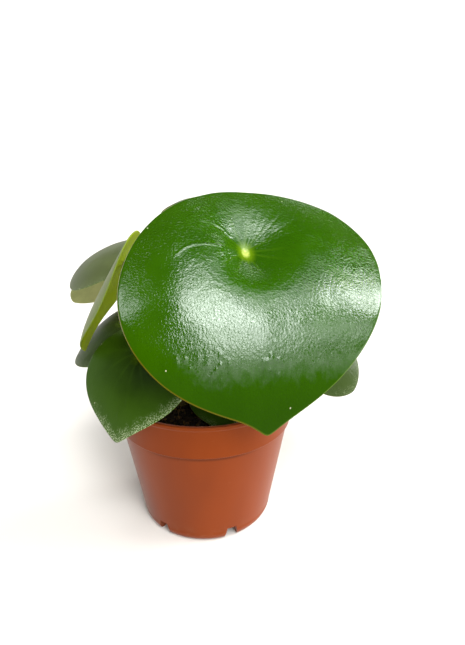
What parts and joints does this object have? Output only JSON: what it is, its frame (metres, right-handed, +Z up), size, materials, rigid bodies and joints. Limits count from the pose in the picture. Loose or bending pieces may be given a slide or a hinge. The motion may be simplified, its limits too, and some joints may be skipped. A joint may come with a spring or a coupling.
{
  "type": "potted peperomia",
  "caption": "House plant with thick round shield-shaped leaves on long stalks, standing in soil in a round tapered plastic pot with a collar.",
  "frame": {"origin": "centre of the pot's underside, on the middle pad that stands level with its foot", "axes": "+Z up along the pot's axis; -Y is the side that the big leaf faces; +X is to the right of a viewer on that side"},
  "size_m": [0.2015, 0.1728, 0.1923],
  "materials": {
    "pot_plastic": "satin",
    "soil": "matte",
    "stalk": "satin",
    "leaf": "gloss"
  },
  "bodies": {
    "root": {"pot": "pot_plastic", "soil": "soil", "stem_left": "stalk", "stem_middle": "stalk", "stem_front": "stalk", "leaf_front_big": "leaf", "leaf_left_low": "leaf", "leaf_left_behind": "leaf", "leaf_left_edge": "leaf", "leaf_left_high": "leaf", "leaf_left_under": "leaf", "leaf_top_back": "leaf", "leaf_right_low": "leaf", "leaf_rim_small": "leaf", "leaf_right_high": "leaf", "leaf_right_mid": "leaf", "leaf_right_young": "leaf", "leaf_back_left": "leaf", "leaf_back_right": "leaf", "leaf_back_low": "leaf", "leaf_back_high": "leaf", "leaf_top_young": "leaf"}
  },
  "joints": []
}
